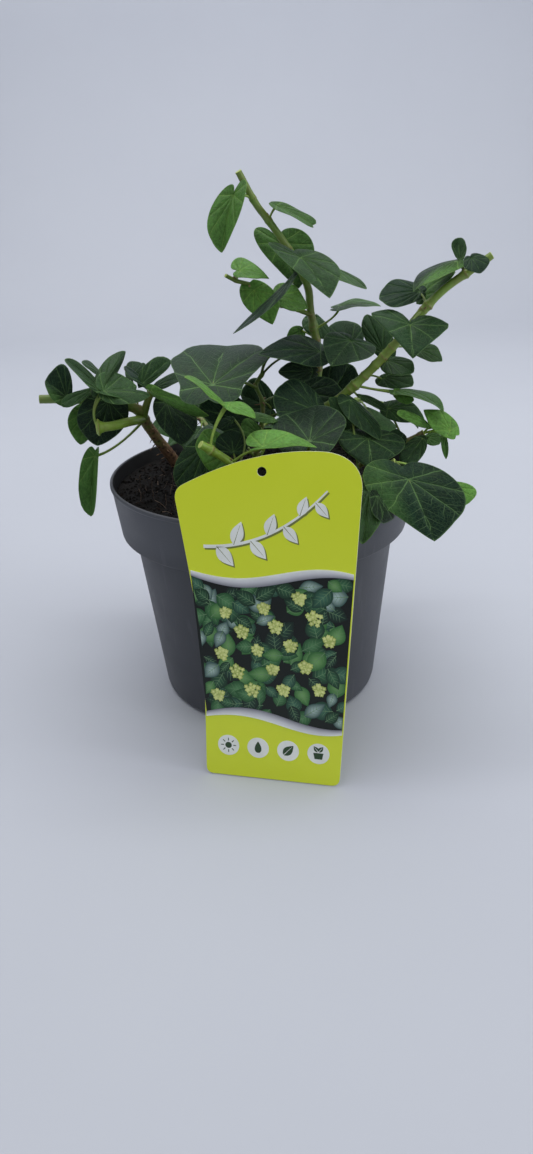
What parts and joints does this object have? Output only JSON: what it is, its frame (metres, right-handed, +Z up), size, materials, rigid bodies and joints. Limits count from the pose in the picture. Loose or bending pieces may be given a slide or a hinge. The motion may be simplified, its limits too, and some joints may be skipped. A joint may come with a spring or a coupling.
{
  "type": "potted irish ivy",
  "caption": "Climbing ivy with heart-shaped leaves on trailing and upright stems, in a round tapered nursery pot of soil, with a plain plant care label leaning on the pot's front.",
  "frame": {"origin": "middle of the pot's flat underside", "axes": "+Z up, -Y towards the front, where the care label leans, +X to the right seen from the front"},
  "size_m": [0.2343, 0.2342, 0.2828],
  "materials": {
    "pot_plastic": "satin",
    "potting_soil": "matte",
    "label_card": "satin",
    "ivy_foliage": "satin"
  },
  "bodies": {
    "root": {"nursery_pot": "pot_plastic", "potting_soil": "potting_soil", "care_label": "label_card", "left_ivy_stem": "ivy_foliage", "tall_ivy_stem": "ivy_foliage", "right_ivy_stem": "ivy_foliage", "low_right_ivy_stem": "ivy_foliage", "front_right_ivy_stem": "ivy_foliage", "front_ivy_stem": "ivy_foliage", "middle_ivy_stem": "ivy_foliage", "rear_left_ivy_stem": "ivy_foliage", "rear_right_ivy_stem": "ivy_foliage"}
  },
  "joints": []
}
